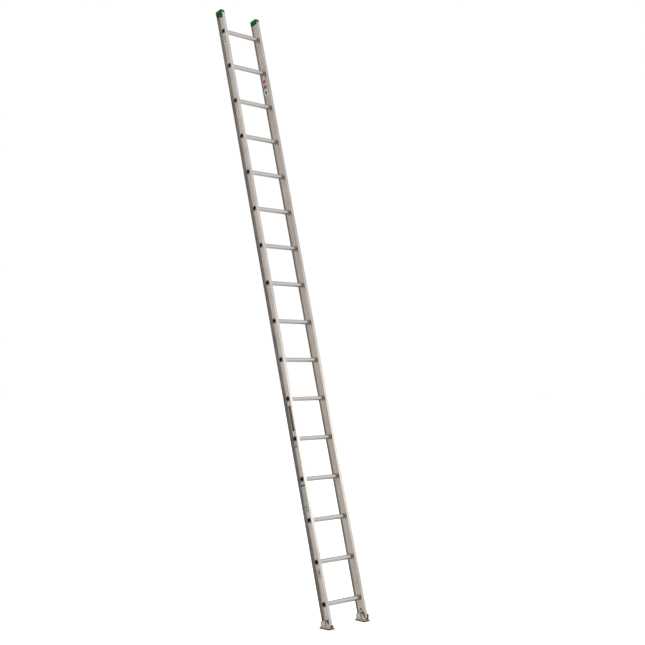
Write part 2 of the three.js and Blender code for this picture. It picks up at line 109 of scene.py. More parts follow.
# Shoes, with heights from the ground and y from the pivot
PIVOT_DROP = (BOTTOM - PIVOTS["left"]).yz.length / MM
PIVOT_HEIGHT = PIVOTS["left"].z / MM
PAD_THICKNESS = 8
PLATE_TOP = 11
SHOE_REAR = 46
SHOE_FRONT = -52
PAD_OVERHANG = 18
PAD_CORNER = 10
PAD_BEVEL = 0.9
PAD_GROOVES = 7
PAD_GROOVE_HALF = 2
PAD_GROOVE_DEPTH = 2
PLATE_INSET = 2
PLATE_CORNER = 8
CORNER_SWING = PIVOT_HEIGHT - PLATE_TOP - 0.7
EAR_THICKNESS = 3
EAR_GAP = 0.5
EAR_TOP = 52.7
EAR_BACK_ROUND = 12
BOSS_RADIUS = 12
BOSS_SPREAD = 0.45
BOSS_SHOULDER = 17
VALLEY = (-34, 35)
HORN_TOP = 55.5
HORN_REAR = -38
HORN_ROUND = 6
HORN_CHAMFER = 4
INNER_EAR_FRONT = 27
WINDOW_HALF = 4
WINDOW_START = 12
WINDOW_END = 39
WELD_FOOT = 1.2

# Fasteners and buttons, with drops from the bottom rung or from the rail top
SLEEVE_RADIUS = 6
SLEEVE_HOLE = SLEEVE_RADIUS + 0.3
SLEEVE_PROUD = 0.2
BOLT_RADIUS = 4
BOLT_HOLE = BOLT_RADIUS + 0.7
BOLT_BORE = BOLT_RADIUS + 0.2
BOLT_ACROSS_FLATS = 13
BOLT_HEAD = 5.3
NUT_HEIGHT = 7.8
BOLT_END = 2
THREAD_PITCH = 1.25
THREAD_DEPTH = 0.55
HEXAGON_CHAMFER = 0.95
POINTS_PER_FLAT = 8
WASHER_RADIUS = 8
WASHER_EDGE = 0.3
WASHER = 1.6
WASHER_GAP = 0.3
EAR_FACE_OUT = -EAR_GAP - EAR_THICKNESS
EAR_FACE_IN = FLANGE_WIDTH + EAR_GAP + EAR_THICKNESS
BOLT_SEAT = EAR_FACE_OUT - 2 * WASHER_GAP - WASHER
NUT_SEAT = EAR_FACE_IN + 2 * WASHER_GAP + WASHER
RIVET_DOME = 1.8
RIVET_SHANK = 2.5
PAD_RIVET_HEAD = 4.2
PAD_RIVET_TAIL = 3.3
PAD_RIVET_IN = 9.8
PAD_RIVET_ALONG = 14
CAP_RIVET_HEAD = 4.5
CAP_RIVET_DROP = 15.4
CAP_RIVET_HOLE = 2.8
SMALL_HOLE_CELL = 14
BUTTON_DROP = 87
BUTTON_RADIUS = 8.5
BUTTON_HEIGHT = 3.4
BUTTON_LIFT = 0.05
BUTTON_RIVET_HEAD = 6
BUTTON_RIVET_SHANK = 3
BUTTON_RIVET_HOLE = 3.2

# End caps
CAP_HEIGHT = 28
CAP_FRONT_ROUND = 18
CAP_MARGIN = 1.5
CAP_BEVEL = 3
CAP_CORNER = 4
CAP_GAP = 0.15
CROWN_OVERLAP = 4
CUT_MARGIN = 9
SKIRT_DROP = 6
TONGUE_DROP = 26
TONGUE_WIDTH = 34
TONGUE_FACE = 8
TONGUE_ROUND = 10

# Labels: the film, and the prints that stand on it
FILM = 0.25
FILM_SINK = 0.02
FILM_BEVEL = 0.08
FILM_CORNER = 2.5
PRINT = 0.04
PRINT_STEP = 0.002
PRINT_SINK = 0.03

# Shading angles in degrees, the fineness of the melted skins, and the steps across a hole's cell
SHARP = 35
MOULDED_SHARP = 60
VOXEL = 0.6
CELL_STEPS = 8

# The setting, in metres, degrees and watts. The lights and shares set the world's strength by direction.
FLOOR_REACH = 60
FLOOR_GLOW = 0.75
BACKDROP_REACH = 90
RIGHTWARDS = (0.707, -0.707, 0)
NEARWARDS = (-0.707, -0.707, 0)
LEFT_LIGHT = 0.84
RIGHT_LIGHT = 1.0
SKY_LIGHT = 0.25
NEAR_SHARE = 0.37
GROUND_SHARE = 1.15
KEY_PLACE = (5.6, -5.0, 3.4)
KEY_TARGET = (0, 0, 2.0)
KEY_SIZE = (3.0, 2.0)
KEY_WATTS = 38
CAMERA_LENS = 63.8
CAMERA_PLACE = (-6.0944, -6.4409, 1.8852)
CAMERA_PITCH = 2.212
CAMERA_HEADING = 45.119

# Mesh helpers


def linked(name, data):
    """A new object in the scene."""
    made = bpy.data.objects.new(name, data)
    bpy.context.scene.collection.objects.link(made)
    return made


def shown(piece):
    """The mesh that an object shows; the object itself is taken away."""
    bpy.context.view_layer.update()
    graph = bpy.context.evaluated_depsgraph_get()
    mesh = bpy.data.meshes.new_from_object(piece.evaluated_get(graph))
    bpy.data.objects.remove(piece)
    return mesh


def face_outwards(mesh, weld=0):
    """Turns the faces outwards, after joining points that are closer than weld metres."""
    work = bmesh.new()
    work.from_mesh(mesh)
    if weld:
        bmesh.ops.remove_doubles(work, verts=work.verts, dist=weld)
    bmesh.ops.recalc_face_normals(work, faces=work.faces)
    work.to_mesh(mesh)
    work.free()


def shade(mesh, sharp):
    """Smooth shading, with the edges over sharp degrees kept."""
    mesh.shade_smooth()
    mesh.set_sharp_from_angle(angle=math.radians(sharp))


def make_mesh(name, verts, faces):
    """A mesh in metres from points in millimetres, with its faces outwards."""
    mesh = bpy.data.meshes.new(name)
    mesh.from_pydata([Vector(v) * MM for v in verts], [], faces)
    face_outwards(mesh, weld=1e-6)
    shade(mesh, SHARP)
    mesh.update()
    return mesh


def put_mesh(mesh, place, body, material, slot, *replaced, name=None):
    """Places a piece with its material, and hands it to its body in place of the CAD nodes it shows."""
    piece = linked(name or mesh.name, mesh)
    piece.matrix_world = place
    if not mesh.materials:
        mesh.materials.append(material)
    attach(piece, body)
    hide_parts(*replaced)


def loft(rings, closed=False):
    """Points and quads through rings of equal length; closed joins the last ring to the first."""
    count = len(rings[0])
    verts = [v for ring in rings for v in ring]
    faces = []
    for i in range(len(rings) - (0 if closed else 1)):
        low = i * count
        high = (i + 1) % len(rings) * count
        for k in range(count):
            after = (k + 1) % count
            faces.append((low + k, low + after, high + after, high + k))
    return verts, faces


def turned(profile, segments=40):
    """A body turned about X from (x, radius) pairs; where the radius is 0 it ends on the axis."""
    rings = []
    for x, radius in profile:
        turn = [2 * math.pi * k / segments for k in range(segments)]
        rings.append([(x, radius * math.cos(a), radius * math.sin(a)) for a in turn])
    return loft(rings, closed=profile[0][1] > 0 and profile[-1][1] > 0)


def arc(centre_y, centre_z, radius, start, end, steps=10):
    """Points on an arc, with its angles in radians."""
    turn = [start + (end - start) * k / steps for k in range(steps + 1)]
    return [(centre_y + radius * math.cos(a), centre_z + radius * math.sin(a)) for a in turn]


def rounded(corners, steps=5):
    """An outline from (u, v, radius) corners, each rounded by its own arc."""
    outline = []
    count = len(corners)
    for i, (u, v, radius) in enumerate(corners):
        here = Vector((u, v))
        to_last = (Vector(corners[i - 1][:2]) - here).normalized()
        to_next = (Vector(corners[(i + 1) % count][:2]) - here).normalized()
        half = math.acos(max(-1, min(1, to_last.dot(to_next)))) / 2
        middle = here + (to_last + to_next).normalized() * radius / math.sin(half)
        first = here + to_last * radius / math.tan(half) - middle
        last = here + to_next * radius / math.tan(half) - middle
        sweep = first.angle_signed(last)
        for k in range(steps + 1):
            turn = Matrix.Rotation(-sweep * k / steps, 2)
            outline.append(tuple(middle + turn @ first))
    return outline


def rectangle(u0, u1, v0, v1, radius):
    return rounded([(u0, v0, radius), (u1, v0, radius), (u1, v1, radius), (u0, v1, radius)])


def sheet(outlines, thickness, bevel):
    """A flat piece with rounded edges, from z 0 up: the first outline is its edge, the others holes."""
    curve = bpy.data.curves.new("sheet", "CURVE")
    curve.dimensions = "2D"
    curve.fill_mode = "BOTH"
    curve.extrude = thickness / 2 - bevel
    curve.bevel_depth = bevel
    curve.bevel_resolution = 2
    curve.offset = -bevel
    for outline in outlines:
        spline = curve.splines.new("POLY")
        spline.points.add(len(outline) - 1)
        for point, (u, v) in zip(spline.points, outline):
            point.co = (u, v, 0, 1)
        spline.use_cyclic_u = True
    mesh = shown(linked("sheet", curve))
    bpy.data.curves.remove(curve)
    verts = [(v.co.x, v.co.y, v.co.z + thickness / 2) for v in mesh.vertices]
    faces = [tuple(p.vertices) for p in mesh.polygons]
    bpy.data.meshes.remove(mesh)
    return verts, faces


def upright(shape, x):
    """Turns a sheet drawn in (y, z) to stand across X, from x inwards along +X."""
    verts, faces = shape
    return [(x + c, a, b) for a, b, c in verts], faces


def block(x0, x1, y0, y1, z0, z1):
    verts = [(x, y, z) for x in (x0, x1) for y in (y0, y1) for z in (z0, z1)]
    faces = [(0, 1, 3, 2), (4, 6, 7, 5), (0, 4, 5, 1), (2, 3, 7, 6), (0, 2, 6, 4), (1, 5, 7, 3)]
    return verts, faces


def moved(shape, x=0, y=0, z=0):
    verts, faces = shape
    return [(a + x, b + y, c + z) for a, b, c in verts], faces


def together(*shapes):
    verts, faces = [], []
    for more_verts, more_faces in shapes:
        base = len(verts)
        verts.extend(more_verts)
        faces.extend(tuple(i + base for i in f) for f in more_faces)
    return verts, faces


def across(shape, side):
    """From a side's inward x to the x of the whole ladder."""
    verts, faces = shape
    sign = SIDES[side]
    return [(sign * (HALF_WIDTH - x), y, z) for x, y, z in verts], faces


def modified(mesh, *changes):
    """The mesh after modifiers, each given as (type, settings)."""
    carrier = linked("carrier", mesh)
    for kind, settings in changes:
        modifier = carrier.modifiers.new(kind, kind)
        for key, value in settings.items():
            setattr(modifier, key, value)
    result = shown(carrier)
    name = mesh.name
    bpy.data.meshes.remove(mesh)
    result.name = name
    return result


def evened(mesh):
    """The mesh with its normals weighted by area, so that flat faces stay flat beside small rounds."""
    return modified(mesh, ("WEIGHTED_NORMAL", {"keep_sharp": True, "weight": 100}))


def without(mesh, name, tools):
    """The mesh with closed tool shapes cut out of it."""
    spare = make_mesh("cutter", *together(*tools))
    cutter = linked("cutter", spare)
    result = modified(mesh, ("BOOLEAN", {"object": cutter, "operation": "DIFFERENCE", "solver": "EXACT"}))
    bpy.data.objects.remove(cutter)
    bpy.data.meshes.remove(spare)
    result.name = name
    shade(result, SHARP)
    return result


def moulded(name, shapes, keep, smoothing):
    """Closed shapes melted into one skin with soft edges, as a moulding or a pressing has."""
    rough = make_mesh(name, *together(*shapes))
    mesh = modified(
        rough,
        ("REMESH", {"mode": "VOXEL", "voxel_size": VOXEL * MM, "use_smooth_shade": True}),
        ("SMOOTH", {"factor": 0.5, "iterations": smoothing}),
        ("DECIMATE", {"ratio": keep}),
    )
    mesh.name = name
    shade(mesh, MOULDED_SHARP)
    return mesh


# Node helpers


class Shader:
    """A small builder for a material's nodes, in the piece's own coordinates in metres."""

    def __init__(self, name, metallic, roughness, colour):
        self.material = bpy.data.materials.new(name)
        self.material.use_nodes = True
        self.tree = self.material.node_tree
        self.principled = self.tree.nodes["Principled BSDF"]
        self.principled.inputs["Metallic"].default_value = metallic
        self.principled.inputs["Roughness"].default_value = roughness
        self.principled.inputs["Base Color"].default_value = (*colour, 1)
        self.place = self.tree.nodes.new("ShaderNodeTexCoord").outputs["Object"]

    def node(self, kind, **settings):
        made = self.tree.nodes.new("ShaderNode" + kind)
        for key, value in settings.items():
            setattr(made, key, value)
        return made

    def link(self, source, target):
        self.tree.links.new(source, target)

    def stretched(self, x, y, z):
        """The piece's coordinates, scaled on each axis."""
        mapping = self.node("Mapping")
        mapping.inputs["Scale"].default_value = (x, y, z)
        self.link(self.place, mapping.inputs["Vector"])
        return mapping.outputs["Vector"]

    def noise(self, scale, detail=3, roughness=0.5, vector=None):
        made = self.node("TexNoise")
        made.inputs["Scale"].default_value = scale
        made.inputs["Detail"].default_value = detail
        made.inputs["Roughness"].default_value = roughness
        self.link(vector or self.place, made.inputs["Vector"])
        return made.outputs["Fac"]

    def span(self, value, from_low, from_high, low, high):
        made = self.node("MapRange")
        for socket, number in zip(made.inputs[1:5], (from_low, from_high, low, high)):
            socket.default_value = number
        self.link(value, made.inputs[0])
        return made.outputs[0]

    def math(self, operation, a, b):
        made = self.node("Math", operation=operation)
        for socket, value in zip(made.inputs, (a, b)):
            if isinstance(value, (int, float)):
                socket.default_value = value
            else:
                self.link(value, socket)
        return made.outputs[0]

    def mix(self, factor, a, b, blend="MIX"):
        made = self.node("Mix", data_type="RGBA", blend_type=blend)
        sockets = (made.inputs[0], made.inputs[6], made.inputs[7])
        for socket, value in zip(sockets, (factor, a, b)):
            if isinstance(value, tuple):
                socket.default_value = (*value, 1)
            elif isinstance(value, (int, float)):
                socket.default_value = value
            else:
                self.link(value, socket)
        return made.outputs[2]

    def axis(self, name):
        split = self.node("SeparateXYZ")
        self.link(self.place, split.inputs[0])
        return split.outputs[name]

    def bump(self, height, strength, distance, after=None):
        made = self.node("Bump")
        made.inputs["Strength"].default_value = strength
        made.inputs["Distance"].default_value = distance
        self.link(height, made.inputs["Height"])
        if after:
            self.link(after, made.inputs["Normal"])
        return made.outputs["Normal"]

    def set(self, socket, source):
        self.link(source, self.principled.inputs[socket])


def aluminium(name, colour, roughness, along, cloud, streak):
    """Mill-finish metal: lines drawn along one axis, cloudy oxide, small scuffs and dull patches."""
    shader = Shader(name, 0.92, roughness, colour)
    fine = [900.0] * 3
    broad = [160.0] * 3
    fine[along] = 6.0
    broad[along] = 1.6
    lines = shader.noise(1, detail=3, roughness=0.6, vector=shader.stretched(*fine))
    bands = shader.noise(1, detail=2, vector=shader.stretched(*broad))
    clouds = shader.noise(7, detail=5, roughness=0.6)
    specks = shader.noise(420, detail=2, roughness=0.7)
    scuffs = shader.noise(1, detail=4, roughness=0.7, vector=shader.stretched(38, 95, 60))
    tone = shader.span(clouds, 0.3, 0.7, 1 - cloud, 1 + cloud / 2)
    tone = shader.math("MULTIPLY", tone, shader.span(bands, 0.3, 0.7, 1 - streak, 1 + streak / 2))
    tone = shader.math("MULTIPLY", tone, shader.span(lines, 0.3, 0.7, 0.95, 1.04))
    tone = shader.math("MULTIPLY", tone, shader.span(specks, 0.30, 0.42, 0.93, 1.0))
    worn = shader.span(scuffs, 0.62, 0.72, 0.0, 1.0)
    value = shader.node("CombineColor")
    for socket in value.inputs:
        shader.link(tone, socket)
    base = shader.mix(1.0, colour, value.outputs[0], blend="MULTIPLY")
    dull = tuple(c * 0.78 for c in colour)
    shader.set("Base Color", shader.mix(shader.math("MULTIPLY", worn, 0.35), base, dull))
    rough = shader.span(clouds, 0.3, 0.7, roughness - 0.06, roughness + 0.08)
    shader.set("Roughness", shader.math("ADD", rough, shader.math("MULTIPLY", worn, 0.12)))
    normal = shader.bump(lines, 0.35, 0.05 * MM)
    shader.set("Normal", shader.bump(specks, 0.12, 0.05 * MM, after=normal))
    return shader.material


def plastic(name, colour, roughness, grain=0.25):
    """Moulded plastic: fine spark-erosion grain, faint flow marks, and paler rubbed patches."""
    shader = Shader(name, 0.0, roughness, colour)
    grains = shader.noise(1400, detail=2)
    flow = shader.noise(40, detail=4, roughness=0.6)
    rubbed = shader.span(shader.noise(90, detail=5, roughness=0.7), 0.60, 0.72, 0.0, 0.35)
    dark = tuple(c * 0.82 for c in colour)
    pale = tuple(min(1, c * 1.25 + 0.006) for c in colour)
    shader.principled.inputs["Specular IOR Level"].default_value = 0.12
    base = shader.mix(shader.span(flow, 0.35, 0.65, 0.0, 1.0), dark, colour)
    shader.set("Base Color", shader.mix(rubbed, base, pale))
    shader.set("Roughness", shader.span(flow, 0.3, 0.7, roughness - 0.06, roughness + 0.08))
    shader.set("Normal", shader.bump(grains, grain, 0.06 * MM))
    return shader.material


def rubber():
    """Black rubber: fine pores, a grey bloom, and dust towards the ground."""
    colour = (0.022, 0.020, 0.018)
    shader = Shader("rubber", 0.0, 0.75, colour)
    pores = shader.noise(1100, detail=3, roughness=0.6)
    bloom = shader.span(shader.noise(60, detail=5, roughness=0.65), 0.45, 0.75, 0.0, 0.5)
    dust = shader.span(shader.axis("Z"), 0.0, 3 * MM, 0.25, 0.0)
    base = shader.mix(bloom, colour, (0.045, 0.042, 0.038))
    shader.set("Base Color", shader.mix(dust, base, (0.095, 0.088, 0.078)))
    shader.set("Roughness", shader.span(pores, 0.3, 0.7, 0.68, 0.86))
    shader.set("Normal", shader.bump(pores, 0.5, 0.12 * MM))
    return shader.material


def zinc():
    """Zinc-plated steel: a cool spangle with a faint straw tint."""
    colour = (0.50, 0.49, 0.47)
    shader = Shader("zinc_steel", 1.0, 0.34, colour)
    tint = shader.noise(140, detail=3)
    spangle = shader.noise(900, detail=2, roughness=0.7)
    base = shader.mix(shader.span(tint, 0.35, 0.65, 0.0, 1.0), colour, (0.44, 0.41, 0.35))
    shader.set("Base Color", base)
    shader.set("Roughness", shader.span(spangle, 0.3, 0.7, 0.26, 0.44))
    shader.set("Normal", shader.bump(spangle, 0.15, 0.05 * MM))
    return shader.material


def ink(name, colour, roughness=0.45):
    """Printed film: a slight mottle, and small chips where the print is worn."""
    shader = Shader(name, 0.0, roughness, colour)
    mottle = shader.noise(260, detail=3)
    chips = shader.span(shader.noise(520, detail=4, roughness=0.7), 0.66, 0.72, 0.0, 0.5)
    base = shader.mix(shader.span(mottle, 0.35, 0.65, 0.0, 1.0), tuple(c * 0.9 for c in colour), colour)
    shader.set("Base Color", shader.mix(chips, base, (0.42, 0.40, 0.37)))
    shader.set("Roughness", shader.span(mottle, 0.3, 0.7, roughness - 0.08, roughness + 0.1))
    shader.set("Normal", shader.bump(mottle, 0.1, 0.05 * MM))
    return shader.material


RAIL_WEAR = {"along": 2, "cloud": 0.16, "streak": 0.14}
# The two rails are one metal. The right rail's copy is darker and a little rougher: painted shade on the
# far rail, not a difference in the metal.
RAIL_METALS_WITH_PAINTED_SHADE = {
    "left": aluminium("left_rail_aluminium", (0.62, 0.575, 0.535), 0.30, **RAIL_WEAR),
    "right": aluminium("right_rail_aluminium_painted_shade", (0.545, 0.490, 0.445), 0.33, **RAIL_WEAR),
}
RUNG_METAL = aluminium("rung_aluminium", (0.50, 0.483, 0.463), 0.38, along=0, cloud=0.08, streak=0.06)
SHOE_METAL = aluminium("shoe_aluminium", (0.60, 0.55, 0.49), 0.45, along=1, cloud=0.2, streak=0.05)
CAP_PLASTIC = plastic("cap_plastic", (0.002, 0.150, 0.044), 0.5)
BUTTON_PLASTIC = plastic("button_plastic", (0.045, 0.26, 0.050), 0.40, grain=0.12)
RUBBER = rubber()
ZINC = zinc()
FILM_WHITE = ink("film_white", (0.86, 0.86, 0.85), 0.5)
FILM_SILVER = ink("film_silver", (0.60, 0.58, 0.55), 0.38)
FILM_MINT = ink("film_mint", (0.50, 0.66, 0.58))
FILM_GREY = ink("film_grey", (0.36, 0.34, 0.32))
INK_BLACK = ink("ink_black", (0.020, 0.019, 0.018))
INK_RED = ink("ink_red", (0.50, 0.035, 0.045))
INK_BLUE = ink("ink_blue", (0.06, 0.07, 0.28))
INK_GREEN = ink("ink_green", (0.06, 0.26, 0.09))

# Rails: an I-section with rounded tips and fillets, and a web pierced for the rungs and the fasteners


def rail_section():
    """The section as (in, back) points, anticlockwise from the front of the outer web face."""
    corners = [
        (WEB_OUTER, -INSIDE, FILLET),
        (0, -INSIDE, TIP_ROUND),
        (0, -HALF_DEPTH, TIP_ROUND),
        (FLANGE_WIDTH, -HALF_DEPTH, TIP_ROUND),
        (FLANGE_WIDTH, -INSIDE, TIP_ROUND),
        (WEB_INNER, -INSIDE, FILLET),
        (WEB_INNER, INSIDE, FILLET),
        (FLANGE_WIDTH, INSIDE, TIP_ROUND),
        (FLANGE_WIDTH, HALF_DEPTH, TIP_ROUND),
        (0, HALF_DEPTH, TIP_ROUND),
        (0, INSIDE, TIP_ROUND),
        (WEB_OUTER, INSIDE, FILLET),
    ]
    return rounded(corners, steps=4)


def hole_cells():
    """The holes up the web as (height, radius, half of the cell's height), from the bottom."""
    cells = [
        (-PIVOT_DROP, SLEEVE_HOLE, SMALL_HOLE_CELL),
        (-BUTTON_DROP, BUTTON_RIVET_HOLE, SMALL_HOLE_CELL),
    ]
    cells += [(i * SPACING, RUNG_RADIUS, WEB_FLAT) for i in range(len(RUNG_NODES))]
    return cells + [(RAIL_TOP - CAP_RIVET_DROP, CAP_RIVET_HOLE, CAP_RIVET_DROP - 1.5)]


def pierced(height, radius, half):
    """Both faces of the web round a hole, out to the edge of its cell, and the wall of the hole."""
    run = [-1 + 2 * k / CELL_STEPS for k in range(CELL_STEPS)]
    border = [(u, -1) for u in run] + [(1, v) for v in run]
    border += [(-u, 1) for u in run] + [(-1, -v) for v in run]
    turns = [math.atan2(v, u) for u, v in border]
    faces = []
    rims = []
    for web in (WEB_OUTER, WEB_INNER):
        rings = []
        for share in (1.0, 0.55, 0.0):
            ring = []
            for (u, v), turn in zip(border, turns):
                y = radius * math.cos(turn) * (1 - share) + u * WEB_FLAT * share
                z = height + radius * math.sin(turn) * (1 - share) + v * half * share
                ring.append((web, y, z))
            rings.append(ring)
        faces.append(loft(rings))
        rims.append(rings[-1])
    return together(*faces, loft(rims))


def rail_foot(back):
    """The height of the bottom end, whose rear corner is rounded about the pivot."""
    if back <= 0:
        return RAIL_BOTTOM
    return max(RAIL_BOTTOM, -PIVOT_DROP - math.sqrt(max(0, CORNER_SWING**2 - back**2)))


def rail_shape():
    section = rail_section()
    count = len(section)
    cells = hole_cells()
    levels = {RAIL_BOTTOM, RAIL_TOP}
    for height, _, half in cells:
        levels.update(height - half + 2 * half * k / CELL_STEPS for k in range(CELL_STEPS + 1))
    levels = sorted(levels)
    rings = [[(x, y, rail_foot(y)) for x, y in section]]
    rings += [[(x, y, level) for x, y in section] for level in levels[1:]]
    verts, faces = loft(rings)

    # The web is left out where a cell is, and the cell with its hole takes its place.
    flats = [abs(section[k][1] - section[(k + 1) % count][1]) for k in range(count)]
    webs = [k for k, flat in enumerate(flats) if flat > 2 * WEB_FLAT - 1]
    middles = [(a + b) / 2 for a, b in zip(levels, levels[1:])]
    in_cell = [any(abs(m - height) < half for height, _, half in cells) for m in middles]
    faces = [f for i, f in enumerate(faces) if not (i % count in webs and in_cell[i // count])]
    verts, faces = together((verts, faces), *(pierced(*cell) for cell in cells))

    ends = tessellate_polygon([[Vector((x, y, 0)) for x, y in section]])
    last = (len(levels) - 1) * count
    faces += [tuple(f) for f in ends] + [tuple(i + last for i in f) for f in ends]
    return verts, faces


def add_rails():
    for side in SIDES:
        mesh = evened(make_mesh(f"{side}_rail_extrusion", *across(rail_shape(), side)))
        put_mesh(mesh, LEANING, "frame", RAIL_METALS_WITH_PAINTED_SHADE[side], "rail", f"{side}_rail")


# Rungs: a D-section tube with a grooved tread, swaged round at its ends, a bead inside and a flare outside


def rung_ring(x, radius, tread, grooves):
    """One ring of the rung: tread is the height of the flat, and grooves the depth of its grooves."""
    flat_points = 8 * TREAD_GROOVES
    round_points = 56
    edge = math.acos(TREAD_HEIGHT / RUNG_RADIUS)
    top = [math.pi / 2 + edge - 2 * edge * k / flat_points for k in range(flat_points)]
    low = math.pi / 2 - edge
    rest = [low - (2 * math.pi - 2 * edge) * k / round_points for k in range(round_points)]
    half = math.sqrt(RUNG_RADIUS**2 - TREAD_HEIGHT**2)
    ring = []
    for turn in top + rest:
        y, z = radius * math.cos(turn), radius * math.sin(turn)
        if z > tread - 0.5:
            z = min(z, tread)
            wave = 0.5 - 0.5 * math.cos(2 * math.pi * TREAD_GROOVES * (y + half) / (2 * half))
            z -= grooves * wave * min(1, max(0, (half - abs(y)) / TREAD_GROOVE_EASE))
        ring.append((x, y, z))
    return ring


def rung_shape():
    web_in = HALF_WIDTH - WEB_INNER
    web_out = HALF_WIDTH - WEB_OUTER
    tread_end = web_in - ROUND_END
    bore = RUNG_RADIUS - RUNG_WALL
    bead = [
        (web_in - 7.2, RUNG_RADIUS),
        (web_in - 5.4, RUNG_RADIUS + 0.5),
        (web_in - 3.9, RUNG_RADIUS + 1.9),
        (web_in - 2.6, BEAD_RADIUS - 0.3),
        (web_in - 1.5, BEAD_RADIUS),
        (web_in - 0.5, BEAD_RADIUS - 0.4),
        (web_in, BEAD_RADIUS - 1.4),
        (web_in, RUNG_RADIUS),
        (web_out, RUNG_RADIUS),
        (web_out, BEAD_RADIUS - 1.2),
        (web_out + 0.5, BEAD_RADIUS - 0.3),
        (web_out + 1.4, BEAD_RADIUS),
        (web_out + 2.6, BEAD_RADIUS - 0.4),
        (web_out + 3.8, BEAD_RADIUS - 1.5),
        (web_out + 4.7, BEAD_RADIUS - 3),
        (web_out + 5, BEAD_RADIUS - 4.1),
        (web_out + 4.4, bore + 0.5),
        (web_out + 2.5, bore),
    ]
    half_outer = []
    for share in (0.0, 0.45, 0.9, 1.0):
        x = tread_end * share
        half_outer.append(rung_ring(x, RUNG_RADIUS, TREAD_HEIGHT, TREAD_GROOVE_DEPTH))
    for share in (0.25, 0.5, 0.75, 1.0):
        blend = share * share * (3 - 2 * share)
        tread = TREAD_HEIGHT + (RUNG_RADIUS - TREAD_HEIGHT) * blend
        x = tread_end + SWAGE_LENGTH * share
        half_outer.append(rung_ring(x, RUNG_RADIUS, tread, TREAD_GROOVE_DEPTH * (1 - blend)))
    half_outer += [rung_ring(x, radius, radius, 0) for x, radius in bead]
    half_inner = [
        rung_ring(web_in - ROUND_END + SWAGE_LENGTH, bore, bore, 0),
        rung_ring(tread_end, bore, TREAD_HEIGHT - RUNG_WALL, 0),
    ]
    half = half_outer + half_inner
    mirrored = [[(-x, y, z) for x, y, z in ring] for ring in half[1:]]
    return loft(half + mirrored[::-1], closed=True)


def add_rungs():
    mesh = evened(make_mesh("rung_tube", *rung_shape()))
    for node in RUNG_NODES:
        place = Matrix.Translation(centre(node))
        put_mesh(mesh, place, "frame", RUNG_METAL, "rung", node, name=f"{node}_tube")


# Fasteners


def rivet_shape(face, head, shank, tail, inwards=1):
    """A domed rivet: its head stands on the face at x, and its shank runs to the tail."""
    dome = [(0, 1), (0.35, 1), (0.8, 0.93), (1.3, 0.72), (1.65, 0.4), (RIVET_DOME, 0)]
    profile = [(face - inwards * rise, head * share) for rise, share in reversed(dome)]
    return turned(profile + [(face, shank), (tail, shank), (tail, 0)])


def hexagon_ring(x, chamfer_from=None, outward=1):
    """A ring round a hexagon; with a chamfer its corners fall back from the face."""
    flat = BOLT_ACROSS_FLATS / 2
    ring = []
    for k in range(6 * POINTS_PER_FLAT):
        turn = math.pi / 3 * k / POINTS_PER_FLAT
        reach = flat / math.cos((turn + math.pi / 6) % (math.pi / 3) - math.pi / 6)
        drop = 0.0 if chamfer_from is None else (reach - flat * chamfer_from) * math.tan(math.radians(30))
        ring.append((x - outward * max(0.0, drop), reach * math.cos(turn), reach * math.sin(turn)))
    return ring


def hexagon_shape(seat, face):
    """A hexagon from its seat to its chamfered face, closed at both ends."""
    outward = 1 if face > seat else -1
    count = 6 * POINTS_PER_FLAT
    radius = HEXAGON_CHAMFER * BOLT_ACROSS_FLATS / 2
    turn = [2 * math.pi * k / count for k in range(count)]
    circle = [(face, radius * math.cos(a), radius * math.sin(a)) for a in turn]
    rim = hexagon_ring(face, HEXAGON_CHAMFER, outward)
    return loft([[(seat, 0, 0)] * count, hexagon_ring(seat), rim, circle, [(face, 0, 0)] * count])


def bolt_shape():
    """The hexagon head and the shank, with threads where it comes out of the nut."""
    start = BOLT_SEAT - 0.5
    nut_end = NUT_SEAT + NUT_HEIGHT
    end = nut_end + BOLT_END
    profile = [(start, 0), (start, BOLT_RADIUS), (NUT_SEAT, BOLT_RADIUS)]
    x = nut_end - 1
    while x < end - THREAD_PITCH:
        profile += [(x, BOLT_RADIUS - THREAD_DEPTH), (x + THREAD_PITCH / 2, BOLT_RADIUS)]
        x += THREAD_PITCH
    profile += [(end - 0.5, BOLT_RADIUS - 0.3), (end, BOLT_RADIUS - 0.8), (end, 0)]
    return together(hexagon_shape(BOLT_SEAT, BOLT_SEAT - BOLT_HEAD), turned(profile))


def washer_shape(x):
    profile = [
        (x, BOLT_BORE),
        (x, WASHER_RADIUS - WASHER_EDGE),
        (x + WASHER_EDGE, WASHER_RADIUS),
        (x + WASHER - WASHER_EDGE, WASHER_RADIUS),
        (x + WASHER, WASHER_RADIUS - WASHER_EDGE),
        (x + WASHER, BOLT_BORE),
    ]
    return turned(profile, 48)


def sleeve_shape():
    start, end = -SLEEVE_PROUD, FLANGE_WIDTH + SLEEVE_PROUD
    return turned([(start, BOLT_BORE), (start, SLEEVE_RADIUS), (end, SLEEVE_RADIUS), (end, BOLT_BORE)])


